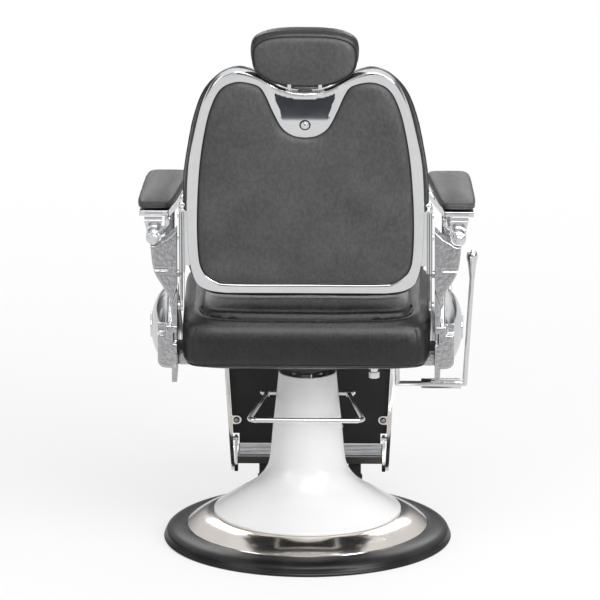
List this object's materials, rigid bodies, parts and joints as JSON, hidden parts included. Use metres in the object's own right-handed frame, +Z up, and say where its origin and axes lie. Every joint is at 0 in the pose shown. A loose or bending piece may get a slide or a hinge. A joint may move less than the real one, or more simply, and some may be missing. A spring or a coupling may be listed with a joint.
{
  "type": "hydraulic barber chair",
  "caption": "Barber chair with a round weighted base, pump column, swivel seat, padded arms, reclining back linked to the leg rest, flip-down footrest and a sliding headrest.",
  "frame": {"origin": "on the floor, on the axis of the pump column, at the centre of the round base", "axes": "+Z up along the column, -Y the way the sitter faces, +X to the sitter's left"},
  "size_m": [0.7512, 0.8181, 1.2809],
  "materials": {
    "chrome": "bright polished chrome plate",
    "cast_chrome": "chrome plate over an aluminium casting",
    "polished_steel": "turned and polished stainless steel",
    "bright_steel": "machined steel",
    "dark_steel": "black paint, satin",
    "cast_iron": "raw iron casting, painted black",
    "white_enamel": "gloss white enamel",
    "black_rubber": "moulded rubber, satin",
    "black_leather": "charcoal black upholstery leather, fine grain, over a board",
    "cushion_leather": "charcoal black leathercloth over foam, fine grain",
    "black_vinyl": "board covered in matt black vinyl",
    "plywood": "birch plywood",
    "aluminium": "extruded aluminium, ribbed"
  },
  "bodies": {
    "base": {"floor_ring": "black_rubber", "base_disc": "cast_iron", "base_dish": "polished_steel", "column_cover": "white_enamel", "pump_cylinder": "bright_steel", "cylinder_gland": "bright_steel", "base_bolts": "bright_steel"},
    "plunger": {"pump_plunger": "bright_steel"},
    "pedal": {"pedal_shaft": "chrome", "pedal_loop": "chrome", "pedal_nuts": "chrome"},
    "ram": {"ram_rod": "chrome", "ram_piston": "bright_steel", "swivel_bearing": "bright_steel"},
    "seat": {"swivel_hub": "cast_iron", "seat_frame": "dark_steel", "hub_bolts": "bright_steel", "seat_board": "plywood", "seat_cushion": "cushion_leather", "recline_lock": "chrome", "hinge_pins": "bright_steel", "side_casting_left": "cast_chrome", "side_casting_right": "cast_chrome", "side_dome_left": "chrome", "side_dome_right": "chrome", "arm_bracket_left": "cast_chrome", "arm_bracket_right": "cast_chrome", "arm_knuckle_left": "cast_chrome", "arm_knuckle_right": "cast_chrome", "arm_plate_left": "cast_chrome", "arm_plate_right": "cast_chrome", "arm_pad_left": "cushion_leather", "arm_pad_right": "cushion_leather"},
    "lever": {"lever_arm": "chrome", "lever_sleeve": "chrome", "lever_knob": "chrome"},
    "back": {"back_frame": "plywood", "back_board": "plywood", "back_rim": "chrome", "back_panel": "black_leather", "back_cushion": "cushion_leather", "head_plate": "chrome", "hinge_bar_left": "chrome", "hinge_bar_right": "chrome", "bar_bolts": "chrome", "head_guide": "bright_steel"},
    "button": {"release_button": "chrome"},
    "post": {"head_post": "chrome"},
    "headrest": {"head_board": "black_leather", "head_pad": "cushion_leather"},
    "link_left": {"link_left": "bright_steel"},
    "link_right": {"link_right": "bright_steel"},
    "leg": {"leg_axle": "bright_steel", "leg_bar_left": "chrome", "leg_bar_right": "chrome", "leg_board": "black_vinyl", "leg_pad": "cushion_leather"},
    "footrest": {"foot_arms": "chrome", "foot_tread": "aluminium", "foot_legs": "dark_steel"}
  },
  "joints": [
    {"name": "pump_pedal", "type": "hinge", "parent": "base", "child": "pedal", "pos_m": [0, -0.05, 0.319], "axis": [-1, 0, 0], "range_deg": [0, 20], "stiffness_Nm_per_rad": 8, "springref_deg": -14.32},
    {"name": "plunger_stroke", "type": "slide", "parent": "base", "child": "plunger", "axis": [0, 0, -1], "range_m": [0, 0.0018]},
    {"name": "seat_lift", "type": "slide", "parent": "base", "child": "ram", "axis": [0, 0, 1], "range_m": [0, 0.16]},
    {"name": "seat_swivel", "type": "hinge", "parent": "ram", "child": "seat", "pos_m": [0, 0, 0.4], "axis": [0, 0, 1], "continuous": true},
    {"name": "back_recline", "type": "hinge", "parent": "seat", "child": "back", "pos_m": [0, 0.205, 0.668], "axis": [-1, 0, 0], "range_deg": [0, 50]},
    {"name": "leg_raise", "type": "hinge", "parent": "seat", "child": "leg", "pos_m": [0, -0.248, 0.44], "axis": [-1, 0, 0], "range_deg": [0, 50]},
    {"name": "link_left_swing", "type": "hinge", "parent": "back", "child": "link_left", "pos_m": [0.281, 0.205, 0.593], "axis": [-1, 0, 0], "range_deg": [-50, 0]},
    {"name": "link_right_swing", "type": "hinge", "parent": "back", "child": "link_right", "pos_m": [-0.281, 0.205, 0.593], "axis": [-1, 0, 0], "range_deg": [-50, 0]},
    {"name": "foot_flip", "type": "hinge", "parent": "leg", "child": "footrest", "pos_m": [0, -0.32472, 0.13138], "axis": [-1, 0, 0], "range_deg": [0, 75]},
    {"name": "head_height", "type": "slide", "parent": "back", "child": "post", "axis": [0, 0.225, 0.9744], "range_m": [0, 0.1]},
    {"name": "head_tilt", "type": "hinge", "parent": "post", "child": "headrest", "pos_m": [0, 0.33277, 1.13639], "axis": [1, 0, 0], "range_deg": [-5, 20]},
    {"name": "head_release", "type": "slide", "parent": "back", "child": "button", "axis": [0, -0.9744, 0.225], "range_m": [0, 0.004], "stiffness_N_per_m": 400, "springref_m": -0.005},
    {"name": "recline_lever", "type": "hinge", "parent": "seat", "child": "lever", "pos_m": [-0.2, -0.05, 0.434], "axis": [-1, 0, 0], "range_deg": [0, 15], "stiffness_Nm_per_rad": 4, "springref_deg": -8.59}
  ],
  "couplings": [
    {"joint": "plunger_stroke", "follows": "pump_pedal", "m_per_rad": 0.005},
    {"joint": "leg_raise", "follows": "back_recline", "ratio": 1},
    {"joint": "link_left_swing", "follows": "back_recline", "ratio": -1},
    {"joint": "link_right_swing", "follows": "back_recline", "ratio": -1}
  ]
}
